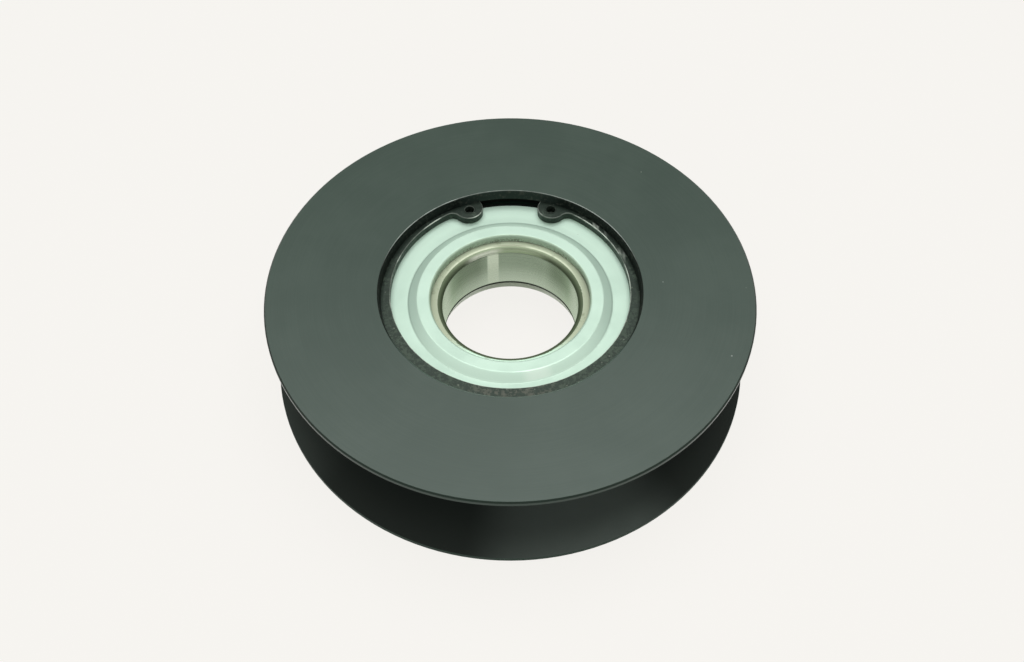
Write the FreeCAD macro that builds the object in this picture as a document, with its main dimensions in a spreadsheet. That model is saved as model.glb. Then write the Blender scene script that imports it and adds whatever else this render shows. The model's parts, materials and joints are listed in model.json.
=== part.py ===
import FreeCAD
import Part
import math
import os

import Sketcher
from FreeCAD import Vector

# Grooved plastic roller that turns on a ball bearing. The axis is Z and the origin is the middle of
# the roller. The retaining ring is on the upper side and its gap points along +Y.
# Millimetres and degrees.

SIZES = (
    # The turned plastic roller
    ("roller_diameter", 160.0, "over the flanges"),
    ("roller_width", 37.0, "over the two faces"),
    ("flange_tip", 1.65, "thickness of a flange at its rim"),
    ("rim_chamfer", 0.5, "edge of a face at the rim"),
    ("rope_groove_angle", 60.0, "between the two flanks"),
    ("rope_groove_round", 7.0, "radius of the rope groove's bottom"),
    ("mouth_flare", 0.5, "how far the recess opens out from the retaining ring up to the face"),
    ("mouth_chamfer", 0.45, "edge of the recess"),
    ("shoulder_reach", 5.5, "how far the shoulder under the bearing stands in from the seat"),
    ("shoulder_chamfer", 1.0, "lower edge of the shoulder's opening"),
    # The ball bearing
    ("bore_diameter", 45.0, "inner ring's bore"),
    ("bearing_diameter", 85.0, "outside of the outer ring"),
    ("bearing_width", 19.0, "both rings"),
    ("bore_corner", 2.0, "rounding at the ends of the bore"),
    ("outer_corner", 1.2, "rounding at the ends of the outer ring's outside"),
    ("shoulder_offset", 3.7, "from the ball circle to the shoulder of either ring"),
    ("ball_count", 9, "balls in the bearing"),
    ("ball_share", 0.635, "diameter of a ball over the height of the bearing's section"),
    ("raceway_relief", 0.25, "how much larger the radius of a raceway is than that of a ball"),
    ("raceway_clearance", 0.02, "between a ball and the bottom of either raceway"),
    ("seat_clearance", 0.05, "between the outer ring and the roller"),
    # The pressed cage
    ("cage_sheet", 1.2, "thickness of the cage's sheet"),
    ("cage_width", 5.6, "radial width of the cage's ribbon"),
    ("pocket_clearance", 0.15, "between a ball and its pocket"),
    ("rivet_diameter", 2.5, "shank"),
    ("rivet_head_diameter", 4.2, "both heads"),
    ("rivet_head_height", 0.9, "both heads"),
    ("rivet_clearance", 0.05, "between a shank and its hole"),
    # The pressed sealing discs
    ("disc_sheet", 1.0, "thickness of a disc's sheet"),
    ("disc_clearance", 0.5, "between a disc's rim and the seat"),
    ("step_clearance", 2.1, "from the lugs of the retaining ring in to the step"),
    ("disc_step_run", 3.2, "radial width of the step"),
    ("disc_step_rise", 2.0, "height of the step"),
    ("disc_bend", 0.8, "rounding of the bends"),
    ("lip_overlap", 2.45, "how far the upper disc's lip stands in from the shoulder of the inner ring"),
    ("lower_lip_overlap", 5.0, "the same at the lower disc, whose lip shows below the bore"),
    ("lip_clearance", 0.2, "between a lip and the inner ring"),
    # The retaining ring
    ("ring_setback", 3.5, "from the roller's face down to the ring"),
    ("ring_thickness", 3.0, "of the spring steel"),
    ("ring_play", 0.1, "between the ring and either side of its groove"),
    ("ring_groove_depth", 1.75, "from the seat to the bottom of the ring's groove"),
    ("ring_clearance", 0.05, "between the ring and the bottom of its groove"),
    ("ring_width_far", 6.7, "radial width opposite the gap"),
    ("ring_width_near", 2.6, "radial width beside the lugs"),
    ("lug_gap", 19.0, "between the two lugs"),
    ("lug_radius", 4.9, "round end of a lug"),
    ("lug_reach", 8.2, "from the ring's outside to the inner end of a lug"),
    ("lug_hole_diameter", 3.2, "hole for the pliers"),
    ("lug_hole_inset", 4.1, "from the inner end of a lug to the hole's centre"),
    ("lug_valley", 3.0, "hollow between a lug and the ring"),
    ("ring_edge", 0.3, "rounding of the stamped edges"),
)

doc = FreeCAD.newDocument("plastic_roller")
sheet = doc.addObject("Spreadsheet::Sheet", "Sizes")
for row, (alias, number, note) in enumerate(SIZES, 1):
    sheet.set(f"A{row}", alias)
    sheet.set(f"B{row}", str(number))
    sheet.setAlias(f"B{row}", alias)
    sheet.set(f"C{row}", note)
doc.recompute()

# Heights and radii that several pieces share, as expressions of the sheet's sizes
TOP = "Sizes.roller_width / 2"
RING_TOP = f"({TOP} - Sizes.ring_setback)"
DISC_TOP = f"({RING_TOP} - Sizes.ring_thickness)"
BEARING_TOP = f"({DISC_TOP} - Sizes.disc_sheet)"
BEARING_LOW = f"({BEARING_TOP} - Sizes.bearing_width)"
BEARING_MIDDLE = f"({BEARING_TOP} - Sizes.bearing_width / 2)"
SHOULDER_TOP = f"({BEARING_LOW} - Sizes.disc_sheet)"

RIM = "Sizes.roller_diameter / 2"
SEAT = "(Sizes.bearing_diameter / 2 + Sizes.seat_clearance)"
MOUTH = f"({SEAT} + Sizes.mouth_flare)"
SHOULDER = f"({SEAT} - Sizes.shoulder_reach)"
RING_GROOVE = f"({SEAT} + Sizes.ring_groove_depth)"
RING_OUTSIDE = f"({RING_GROOVE} - Sizes.ring_clearance)"
LUG_END = f"({RING_OUTSIDE} - Sizes.lug_reach)"
STEP_FOOT = f"({LUG_END} - Sizes.step_clearance)"
BALL_CIRCLE = "((Sizes.bore_diameter + Sizes.bearing_diameter) / 4)"
INNER_SHOULDER = f"({BALL_CIRCLE} - Sizes.shoulder_offset)"
OUTER_SHOULDER = f"({BALL_CIRCLE} + Sizes.shoulder_offset)"
BALL = "((Sizes.bearing_diameter - Sizes.bore_diameter) / 4 * Sizes.ball_share)"
RACEWAY = f"({BALL} + Sizes.raceway_relief)"
RACEWAY_SHIFT = "(Sizes.raceway_relief - Sizes.raceway_clearance)"
POCKET = f"({BALL} + Sizes.pocket_clearance)"

COUNT = round(sheet.ball_count)
PITCH = 360.0 / COUNT
NEAR = 1e-4


def value(expression):
    """The number that an expression of the sheet's sizes gives."""
    return float(sheet.evalExpression(expression))


def new_body(label):
    """An empty body whose label names the sub-part."""
    body = doc.addObject("PartDesign::Body", label)
    body.Label = label
    return body


def new_sketch(body, name, role, height="0"):
    """A sketch on one of the body's own planes, lifted along the plane's normal."""
    sketch = body.newObject("Sketcher::SketchObject", name)
    plane = next(feature for feature in body.Origin.OriginFeatures if feature.Role == role)
    sketch.AttachmentSupport = (plane, [""])
    sketch.MapMode = "FlatFace"
    sketch.setExpression("AttachmentOffset.Base.z", height)
    return sketch


def pin(sketch, edge, end, across, up):
    """Hold one point of a sketch at two expressions, measured from the sketch's origin."""
    for kind, expression in (("DistanceX", across), ("DistanceY", up)):
        constraint = Sketcher.Constraint(kind, -1, 1, edge, end, value(expression))
        index = sketch.addConstraint(constraint)
        sketch.setExpression(f"Constraints[{index}]", expression)


def bind_radius(sketch, edge, radius):
    """Hold the radius of a circle or an arc at an expression."""
    index = sketch.addConstraint(Sketcher.Constraint("Radius", edge, value(radius)))
    sketch.setExpression(f"Constraints[{index}]", radius)


def add_circle(sketch, across, up, radius):
    """A circle with its centre pinned and its radius bound."""
    centre = Vector(value(across), value(up), 0)
    edge = sketch.addGeometry(Part.Circle(centre, Vector(0, 0, 1), value(radius)))
    pin(sketch, edge, 3, across, up)
    bind_radius(sketch, edge, radius)


def add_edge(sketch, start, end, radius):
    """A straight edge of an outline, or a hollow arc of under half a turn if there is a radius. Gives the
    numbers that the sketch has for the edge's two ends."""
    if not radius:
        sketch.addGeometry(Part.LineSegment(start, end))
        return 1, 2
    chord = start - end
    away = Vector(-chord.y, chord.x, 0).normalize()
    centre = (start + end) / 2 + away * math.sqrt(radius ** 2 - chord.Length ** 2 / 4)
    first = math.atan2(end.y - centre.y, end.x - centre.x)
    sweep = 2 * math.asin(chord.Length / (2 * radius))
    sketch.addGeometry(Part.ArcOfCircle(Part.Circle(centre, Vector(0, 0, 1), radius), first, first + sweep))
    return 2, 1


def add_outline(sketch, corners):
    """A closed outline, drawn anticlockwise, with every corner pinned. A corner that gives a radius as well
    starts a hollow arc."""
    spots = [Vector(value(corner[0]), value(corner[1]), 0) for corner in corners]
    radii = [value(corner[2]) if len(corner) == 3 else 0 for corner in corners]
    ends = [add_edge(sketch, *edge) for edge in zip(spots, spots[1:] + spots[:1], radii)]
    for index, corner in enumerate(corners):
        before = (index - 1) % len(corners)
        start = ends[index][0]
        sketch.addConstraint(Sketcher.Constraint("Coincident", before, ends[before][1], index, start))
        pin(sketch, index, start, corner[0], corner[1])
        if radii[index]:
            bind_radius(sketch, index, corner[2])


def turn(body, kind, name, sketch):
    """Turn a sketch about the axis, to add material or to cut it away."""
    feature = body.newObject(f"PartDesign::{kind}", name)
    feature.Profile = sketch
    feature.ReferenceAxis = (sketch, ["V_Axis"])
    feature.Angle = 360
    doc.recompute()
    return feature


def turned_blank(body, name, corners):
    """The solid that a half section makes about the axis."""
    sketch = new_sketch(body, f"{name}_section", "XZ_Plane")
    add_outline(sketch, corners)
    return turn(body, "Revolution", name, sketch)


def round_edges(feature, spots):
    """Names of a feature's full round edges at the given radii and heights."""
    wanted = [(value(radius), value(height)) for radius, height in spots]
    names = []
    for index, edge in enumerate(feature.Shape.Edges, 1):
        if not isinstance(edge.Curve, Part.Circle):
            continue
        radius = edge.Curve.Radius
        height = edge.Curve.Center.z
        if any(abs(radius - r) < NEAR and abs(height - z) < NEAR for r, z in wanted):
            names.append(f"Edge{index}")
    if len(names) != len(wanted):
        raise RuntimeError(f"{feature.Name}: {len(names)} edges found, {len(wanted)} wanted")
    return names


def dress(body, kind, name, feature, names, size):
    """A fillet or a chamfer on named edges or faces, bound to one size."""
    dressed = body.newObject(f"PartDesign::{kind}", name)
    dressed.Base = (feature, names)
    dressed.setExpression("Radius" if kind == "Fillet" else "Size", size)
    doc.recompute()
    return dressed


def make_roller():
    """The plastic body: two flanges, the rope groove, the stepped seat and the ring's groove."""
    half = "(Sizes.rope_groove_angle / 2)"
    rope_mouth = f"({TOP} - Sizes.flange_tip)"
    bottom = "Sizes.rope_groove_round"
    bottom_centre = f"({RIM} - {rope_mouth} / tan({half}) + {bottom} / sin({half}))"
    flank_foot = f"({bottom_centre} - {bottom} * sin({half}))"
    flank_foot_height = f"({bottom} * cos({half}))"

    body = new_body("roller")
    blank = turned_blank(body, "roller_blank", (
        (SHOULDER, f"-{TOP}"),
        (RIM, f"-{TOP}"),
        (RIM, f"-{rope_mouth}"),
        (flank_foot, f"-{flank_foot_height}", bottom),
        (flank_foot, flank_foot_height),
        (RIM, rope_mouth),
        (RIM, TOP),
        (MOUTH, TOP),
        (SEAT, RING_TOP),
        (SEAT, SHOULDER_TOP),
        (SHOULDER, SHOULDER_TOP),
    ))

    groove = new_sketch(body, "ring_groove_section", "XZ_Plane")
    groove_top = f"({RING_TOP} + Sizes.ring_play)"
    groove_low = f"({DISC_TOP} - Sizes.ring_play)"
    add_outline(groove, (
        (SHOULDER, groove_low),
        (RING_GROOVE, groove_low),
        (RING_GROOVE, groove_top),
        (SHOULDER, groove_top),
    ))
    grooved = turn(body, "Groove", "ring_groove", groove)
    if not grooved.Shape.Volume < blank.Shape.Volume:
        raise RuntimeError("the groove for the retaining ring cut nothing")

    rims = round_edges(grooved, ((RIM, TOP), (RIM, f"-{TOP}")))
    trimmed = dress(body, "Chamfer", "rim_edges", grooved, rims, "Sizes.rim_chamfer")
    mouth = round_edges(trimmed, ((MOUTH, TOP),))
    opened = dress(body, "Chamfer", "mouth_edge", trimmed, mouth, "Sizes.mouth_chamfer")
    opening = round_edges(opened, ((SHOULDER, f"-{TOP}"),))
    dress(body, "Chamfer", "shoulder_edge", opened, opening, "Sizes.shoulder_chamfer")
    return body


def make_bearing_ring(label, wall, shoulder, raceway, corner):
    """One ring of the bearing: a tube with the raceway in one side and rounded ends on the other."""
    body = new_body(label)
    blank = turned_blank(body, f"{label}_blank", (
        (wall, BEARING_LOW),
        (shoulder, BEARING_LOW),
        (shoulder, BEARING_TOP),
        (wall, BEARING_TOP),
    ))
    section = new_sketch(body, f"{label}_raceway_section", "XZ_Plane")
    add_circle(section, raceway, BEARING_MIDDLE, RACEWAY)
    grooved = turn(body, "Groove", f"{label}_raceway", section)
    if not grooved.Shape.Volume < blank.Shape.Volume:
        raise RuntimeError(f"the raceway of {label} cut nothing")
    ends = round_edges(grooved, ((wall, BEARING_TOP), (wall, BEARING_LOW)))
    dress(body, "Fillet", f"{label}_corners", grooved, ends, corner)
    return body


def put_on_ball_circle(piece, steps, height):
    """Place a piece on the ball circle, so many ball pitches round from +Y."""
    angle = 90 + steps * PITCH
    piece.setExpression("Placement.Base.x", f"{BALL_CIRCLE} * cos({angle})")
    piece.setExpression("Placement.Base.y", f"{BALL_CIRCLE} * sin({angle})")
    piece.setExpression("Placement.Base.z", height)
    return piece


def make_sphere(name, radius, steps):
    """A sphere on the ball circle, in the middle of the bearing."""
    sphere = doc.addObject("Part::Sphere", name)
    sphere.setExpression("Radius", radius)
    return put_on_ball_circle(sphere, steps, BEARING_MIDDLE)


def make_post(name, radius, height, steps, foot):
    """A round post on the ball circle."""
    post = doc.addObject("Part::Cylinder", name)
    post.setExpression("Radius", radius)
    post.setExpression("Height", height)
    return put_on_ball_circle(post, steps, foot)


def make_head(name, foot_radius, head_radius, steps, foot):
    """A coned rivet head on the ball circle."""
    head = doc.addObject("Part::Cone", name)
    head.setExpression("Radius1", foot_radius)
    head.setExpression("Radius2", head_radius)
    head.setExpression("Height", "Sizes.rivet_head_height")
    return put_on_ball_circle(head, steps, foot)


def join(name, pieces):
    """One object of several pieces."""
    joined = doc.addObject("Part::MultiFuse", name)
    joined.Shapes = pieces
    return joined


def combine(kind, name, base, tool):
    """A cut or a common part of two objects."""
    combined = doc.addObject(f"Part::{kind}", name)
    combined.Base = base
    combined.Tool = tool
    return combined


def make_tube(name, height):
    """A tube as wide as the cage's ribbon that stands on the bearing's middle."""
    walls = []
    for side, sign in (("outside", "+"), ("inside", "-")):
        wall = doc.addObject("Part::Cylinder", f"{name}_{side}")
        wall.setExpression("Radius", f"{BALL_CIRCLE} {sign} Sizes.cage_width / 2")
        wall.setExpression("Height", height)
        wall.setExpression("Placement.Base.z", BEARING_MIDDLE)
        walls.append(wall)
    return combine("Cut", name, *walls)


def make_cage():
    """Two pressed halves, each a flat ribbon with a crown over every ball, and their rivets."""
    outside = f"{POCKET} + Sizes.cage_sheet"
    crowns = [make_sphere(f"crown_{i + 1}", outside, i) for i in range(COUNT)]
    pockets = [make_sphere(f"pocket_{i + 1}", POCKET, i) for i in range(COUNT)]
    crowned = combine("Common", "crowned_ribbon", make_tube("crown_band", outside), join("crowns", crowns))
    pressed = join("pressed_ribbon", [make_tube("ribbon", "Sizes.cage_sheet"), crowned])
    pocketed = combine("Cut", "pocketed_ribbon", pressed, join("pockets", pockets))

    shank = "Sizes.rivet_diameter / 2"
    head = "Sizes.rivet_head_diameter / 2"
    upper_side = f"{BEARING_MIDDLE} + Sizes.cage_sheet"
    lower_side = f"{BEARING_MIDDLE} - Sizes.cage_sheet"
    lower_head = f"{lower_side} - Sizes.rivet_head_height"
    hole = f"{shank} + Sizes.rivet_clearance"
    holes = []
    rivets = []
    for i in range(COUNT):
        steps = i + 0.5
        holes.append(make_post(f"rivet_hole_{i + 1}", hole, "Sizes.cage_sheet", steps, BEARING_MIDDLE))
        rivets.append(make_post(f"rivet_{i + 1}", shank, "2 * Sizes.cage_sheet", steps, lower_side))
        rivets.append(make_head(f"rivet_top_{i + 1}", head, shank, steps, upper_side))
        rivets.append(make_head(f"rivet_foot_{i + 1}", shank, head, steps, lower_head))
    upper = combine("Cut", "cage_upper_half", pocketed, join("rivet_holes", holes))

    lower = doc.addObject("Part::Mirroring", "cage_lower_half")
    lower.Source = upper
    lower.Normal = Vector(0, 0, 1)
    lower.setExpression("Base.z", BEARING_MIDDLE)
    return [upper, lower, join("cage_rivets", rivets)]


def make_seal_disc(label, face, sign, overlap):
    """A pressed disc on the outer ring, stepped up over the balls, its lip turned in to the inner ring."""
    rim = f"({SEAT} - Sizes.disc_clearance)"
    crest = f"({STEP_FOOT} - Sizes.disc_step_run)"
    lean = "(Sizes.disc_sheet * tan(atan(Sizes.disc_step_rise / Sizes.disc_step_run) / 2))"
    lip = f"({INNER_SHOULDER} - {overlap})"
    lip_back = f"({lip} + Sizes.disc_sheet)"
    flat = f"({face} {sign} Sizes.disc_sheet)"
    raised = f"({flat} {sign} Sizes.disc_step_rise)"
    raised_back = f"({face} {sign} Sizes.disc_step_rise)"
    lip_end = f"({face} {sign} Sizes.lip_clearance)"

    body = new_body(label)
    sheet_metal = turned_blank(body, f"{label}_sheet", (
        (rim, face),
        (rim, flat),
        (STEP_FOOT, flat),
        (crest, raised),
        (lip, raised),
        (lip, lip_end),
        (lip_back, lip_end),
        (lip_back, raised_back),
        (f"({crest} - {lean})", raised_back),
        (f"({STEP_FOOT} - {lean})", face),
    ))
    bends = round_edges(sheet_metal, ((STEP_FOOT, flat), (crest, raised), (lip, raised)))
    dress(body, "Fillet", f"{label}_bends", sheet_metal, bends, "Sizes.disc_bend")
    return body


def pad(body, name, sketch):
    """A plate as thick as the retaining ring."""
    feature = body.newObject("PartDesign::Pad", name)
    feature.Profile = sketch
    feature.setExpression("Length", "Sizes.ring_thickness")
    doc.recompute()
    return feature


def pocket(body, name, sketch):
    """A cut through the retaining ring."""
    before = body.Shape.Volume
    feature = body.newObject("PartDesign::Pocket", name)
    feature.Profile = sketch
    feature.Type = "ThroughAll"
    feature.Reversed = True
    doc.recompute()
    if not feature.Shape.Volume < before:
        raise RuntimeError(f"{name} cut nothing")
    return feature


def upright_edges(feature, circles):
    """Names of a feature's upright edges on both of two circles, or on both of their mirror images."""
    names = []
    for index, edge in enumerate(feature.Shape.Edges, 1):
        if edge.BoundBox.DiagonalLength - edge.BoundBox.ZLength > NEAR:
            continue
        spot = Vector(abs(edge.CenterOfMass.x), edge.CenterOfMass.y, 0)
        misses = []
        for (across, up), radius in circles:
            centre = Vector(value(across), value(up), 0)
            misses.append(abs((spot - centre).Length - value(radius)))
        if max(misses) < NEAR:
            names.append(f"Edge{index}")
    return names


def make_retaining_ring():
    """A stamped spring ring, widest opposite its gap, with a lug and a hole for the pliers at each end."""
    inside = f"({RING_OUTSIDE} - (Sizes.ring_width_far + Sizes.ring_width_near) / 2)"
    offset = "((Sizes.ring_width_far - Sizes.ring_width_near) / 2)"
    lug_centre = f"({LUG_END} + Sizes.lug_radius)"
    lug_x = "(Sizes.lug_gap / 2 + Sizes.lug_radius)"
    lug_y = f"sqrt({lug_centre} * {lug_centre} - {lug_x} * {lug_x})"
    hole_share = f"(({LUG_END} + Sizes.lug_hole_inset) / {lug_centre})"
    beyond = f"({RING_OUTSIDE} + Sizes.lug_radius)"

    body = new_body("retaining_ring")
    blank = new_sketch(body, "ring_outline", "XY_Plane", DISC_TOP)
    add_circle(blank, "0", "0", RING_OUTSIDE)
    add_circle(blank, "0", offset, inside)
    pad(body, "ring_blank", blank)

    gap = new_sketch(body, "ring_gap_outline", "XY_Plane", DISC_TOP)
    add_outline(gap, ((f"-{lug_x}", "0"), (lug_x, "0"), (lug_x, beyond), (f"-{lug_x}", beyond)))
    pocket(body, "ring_gap", gap)

    lugs = new_sketch(body, "lug_outline", "XY_Plane", DISC_TOP)
    add_circle(lugs, f"-{lug_x}", lug_y, "Sizes.lug_radius")
    add_circle(lugs, lug_x, lug_y, "Sizes.lug_radius")
    pad(body, "lugs", lugs)

    trim = new_sketch(body, "ring_trim_outline", "XY_Plane", DISC_TOP)
    add_circle(trim, "0", "0", RING_OUTSIDE)
    add_circle(trim, "0", "0", beyond)
    pocket(body, "ring_trim", trim)

    holes = new_sketch(body, "lug_hole_outline", "XY_Plane", DISC_TOP)
    add_circle(holes, f"-{lug_x} * {hole_share}", f"{lug_y} * {hole_share}", "Sizes.lug_hole_diameter / 2")
    add_circle(holes, f"{lug_x} * {hole_share}", f"{lug_y} * {hole_share}", "Sizes.lug_hole_diameter / 2")
    drilled = pocket(body, "lug_holes", holes)

    valleys = upright_edges(drilled, (((lug_x, lug_y), "Sizes.lug_radius"), (("0", offset), inside)))
    hollowed = dress(body, "Fillet", "lug_valleys", drilled, valleys, "Sizes.lug_valley")

    sides = [f"Face{i}" for i, face in enumerate(hollowed.Shape.Faces, 1) if face.BoundBox.ZLength < NEAR]
    dress(body, "Fillet", "ring_edges", hollowed, sides, "Sizes.ring_edge")
    return body


pieces = [make_roller()]
pieces.append(make_bearing_ring(
    "bearing_outer_ring",
    "(Sizes.bearing_diameter / 2)",
    OUTER_SHOULDER,
    f"({BALL_CIRCLE} - {RACEWAY_SHIFT})",
    "Sizes.outer_corner",
))
pieces.append(make_bearing_ring(
    "bearing_inner_ring",
    "(Sizes.bore_diameter / 2)",
    INNER_SHOULDER,
    f"({BALL_CIRCLE} + {RACEWAY_SHIFT})",
    "Sizes.bore_corner",
))
pieces += [make_sphere(f"ball_{i + 1}", BALL, i) for i in range(COUNT)]
pieces += make_cage()
pieces.append(make_seal_disc("upper_seal_disc", BEARING_TOP, "+", "Sizes.lip_overlap"))
pieces.append(make_seal_disc("lower_seal_disc", BEARING_LOW, "-", "Sizes.lower_lip_overlap"))
pieces.append(make_retaining_ring())
doc.recompute()

for item in doc.Objects:
    if "Invalid" in item.State or "Error" in item.State:
        raise RuntimeError(f"{item.Name} did not build: {item.State}")
for piece in pieces:
    if piece.Shape.isNull() or not piece.Shape.isValid():
        raise RuntimeError(f"{piece.Label} has no valid shape")

os.makedirs("parts", exist_ok=True)
for piece in pieces:
    piece.Shape.exportStep(f"parts/{piece.Label}.step")
    print(piece.Label, len(piece.Shape.Solids), round(piece.Shape.Volume, 1))
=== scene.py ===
import json
import math

import bpy
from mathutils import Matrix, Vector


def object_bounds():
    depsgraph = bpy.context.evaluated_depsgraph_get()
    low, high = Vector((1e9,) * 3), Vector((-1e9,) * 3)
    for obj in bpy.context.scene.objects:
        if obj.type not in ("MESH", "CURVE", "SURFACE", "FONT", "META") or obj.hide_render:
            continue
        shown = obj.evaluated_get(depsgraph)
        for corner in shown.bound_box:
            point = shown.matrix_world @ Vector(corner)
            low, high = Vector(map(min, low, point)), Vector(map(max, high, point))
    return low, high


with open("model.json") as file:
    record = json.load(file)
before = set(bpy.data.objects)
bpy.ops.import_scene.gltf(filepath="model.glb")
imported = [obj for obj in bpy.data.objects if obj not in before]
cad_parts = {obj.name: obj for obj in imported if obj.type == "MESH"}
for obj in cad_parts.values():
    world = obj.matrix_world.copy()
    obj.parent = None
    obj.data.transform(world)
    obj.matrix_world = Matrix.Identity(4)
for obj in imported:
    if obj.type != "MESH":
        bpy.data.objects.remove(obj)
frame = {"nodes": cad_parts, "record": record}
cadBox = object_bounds()
print("frame loaded,", len(frame["nodes"]), "nodes")

perMetre = 1000.0  # radii, heights and depths in the materials are in millimetres
floorHeight = cadBox[0].z
rimRadius = cadBox[1].x * perMetre
faceHeight = cadBox[1].z * perMetre
recessEdge = 46.0  # outside the hub's recess, inside the rope groove


# Small helpers for node trees

def addNode(tree, kind, **settings):
    node = tree.nodes.new(kind)
    for key, setting in settings.items():
        setattr(node, key, setting)
    return node


def feed(tree, socket, source):
    if isinstance(source, bpy.types.NodeSocket):
        tree.links.new(source, socket)
    elif source is not None:
        socket.default_value = source


def calc(tree, operation, a, b=None, c=None, clamp=False):
    node = addNode(tree, "ShaderNodeMath", operation=operation, use_clamp=clamp)
    for socket, source in zip(node.inputs, (a, b, c)):
        feed(tree, socket, source)
    return node.outputs[0]


def times(tree, mask, *others):  # several masks or shares multiplied
    for other in others:
        mask = calc(tree, "MULTIPLY", mask, other)
    return mask


def inverse(tree, mask):
    return calc(tree, "SUBTRACT", 1.0, mask)


def mingle(tree, a, b, shares):  # two masks added, each by its share
    return calc(tree, "MULTIPLY_ADD", a, shares[0], times(tree, b, shares[1]))


def vectorCalc(tree, operation, a, b=None):
    node = addNode(tree, "ShaderNodeVectorMath", operation=operation)
    feed(tree, node.inputs[0], a)
    feed(tree, node.inputs["Scale"] if operation == "SCALE" else node.inputs[1], b)
    return node.outputs["Value" if operation in ("LENGTH", "DOT_PRODUCT") else "Vector"]


def axes(tree, vector):  # X, Y and Z of a vector
    node = addNode(tree, "ShaderNodeSeparateXYZ")
    feed(tree, node.inputs[0], vector)
    return node.outputs


def objectPlace(tree):
    return addNode(tree, "ShaderNodeTexCoord").outputs["Object"]


def noiseValue(tree, **sources):
    noise = addNode(tree, "ShaderNodeTexNoise")
    for label, source in sources.items():
        feed(tree, noise.inputs[label], source)
    return noise.outputs[0]


def ramp(tree, source, low, high, atLow=0.0, atHigh=1.0):  # a smooth step between two values
    node = addNode(tree, "ShaderNodeMapRange", interpolation_type="SMOOTHSTEP")
    for socket, value in zip(node.inputs, (source, low, high, atLow, atHigh)):
        feed(tree, socket, value)
    return node.outputs[0]


def fall(tree, source, low, high):  # 1 up to the low value, 0 from the high one on
    return ramp(tree, source, low, high, 1.0, 0.0)


def band(tree, source, low, high, soft):  # 1 between two values, 0 outside
    return times(tree, ramp(tree, source, low - soft, low + soft), fall(tree, source, high - soft, high + soft))


def mixColour(tree, factor, a, b):  # a colour mix has a and b at its sockets 6 and 7
    node = addNode(tree, "ShaderNodeMix", data_type="RGBA")
    feed(tree, node.inputs[0], factor)
    feed(tree, node.inputs[6], a)
    feed(tree, node.inputs[7], b)
    return node.outputs[2]


def blendValue(tree, factor, a, b):  # a mix of values has them at 2 and 3
    node = addNode(tree, "ShaderNodeMix", data_type="FLOAT")
    feed(tree, node.inputs[0], factor)
    feed(tree, node.inputs[2], a)
    feed(tree, node.inputs[3], b)
    return node.outputs[0]


def newGroup(name, inputs, outputs):
    group = bpy.data.node_groups.new(name, "ShaderNodeTree")
    for label, start in inputs.items():
        kind = "NodeSocketVector" if isinstance(start, tuple) else "NodeSocketFloat"
        socket = group.interface.new_socket(label, in_out="INPUT", socket_type=kind)
        socket.default_value = start
    for label, kind in outputs.items():
        group.interface.new_socket(label, in_out="OUTPUT", socket_type=kind)
    return group, addNode(group, "NodeGroupInput").outputs, addNode(group, "NodeGroupOutput").inputs


def place(tree, group, **values):  # one use of a group, with its own values
    node = addNode(tree, "ShaderNodeGroup", node_tree=group)
    for label, value in values.items():
        feed(tree, node.inputs[label], value)
    return node.outputs


# Effects that several finishes share

effectLook = {
    "markClimb": 0.6,  # how closely the turning marks follow each other up a wall
    "markDetail": 3.0,
    "speckCore": 0.5,  # share of a speck that is solid
    "smudgeDetail": 5.0,
    "smudgeRoughness": 0.6,
    "scratchStretch": (420.0, 9.0, 9.0),
    "scratchDetail": 1.0,
    "scratchLevel": 0.62,
    "wallLean": 0.02,  # a normal's upward share on upright walls
    "levelLean": 0.999,  # and on level faces
}
ringHoles = {"x": 14.1, "y": 37.5}  # centre of one hole, the other one mirrors it


def makeRoundPlace():  # where a point lies round the axis
    group, _, out = newGroup("roundPlace", {}, {
        "Radius": "NodeSocketFloat", "Height": "NodeSocketFloat", "Round": "NodeSocketVector",
        "Rightward": "NodeSocketFloat", "Backward": "NodeSocketFloat"})
    spot = vectorCalc(group, "SCALE", objectPlace(group), perMetre)
    flat = vectorCalc(group, "MULTIPLY", spot, (1.0, 1.0, 0.0))
    around = vectorCalc(group, "NORMALIZE", flat)
    sides = axes(group, around)
    feed(group, out["Radius"], vectorCalc(group, "LENGTH", flat))
    feed(group, out["Height"], axes(group, spot)["Z"])
    feed(group, out["Round"], around)
    feed(group, out["Rightward"], sides["X"])  # from -1 at the left to 1 at the right
    feed(group, out["Backward"], sides["Y"])  # from -1 at the front to 1 at the ring's gap
    return group


def makeTurningMarks(roundPlace, look):  # fine rings that a lathe or a grinding wheel leaves
    group, given, out = newGroup("turningMarks", {"Pitch": 0.4, "Wander": 3.0}, {"Lines": "NodeSocketFloat"})
    spot = place(group, roundPlace)
    along = calc(group, "MULTIPLY_ADD", spot["Height"], look["markClimb"], spot["Radius"])
    stack = addNode(group, "ShaderNodeCombineXYZ")
    feed(group, stack.inputs["Z"], calc(group, "DIVIDE", along, given["Pitch"]))
    wander = vectorCalc(group, "SCALE", spot["Round"], given["Wander"])
    lines = noiseValue(group, Vector=vectorCalc(group, "ADD", wander, stack.outputs[0]),
                       Scale=1.0, Detail=look["markDetail"])
    feed(group, out["Lines"], lines)
    return group


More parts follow.
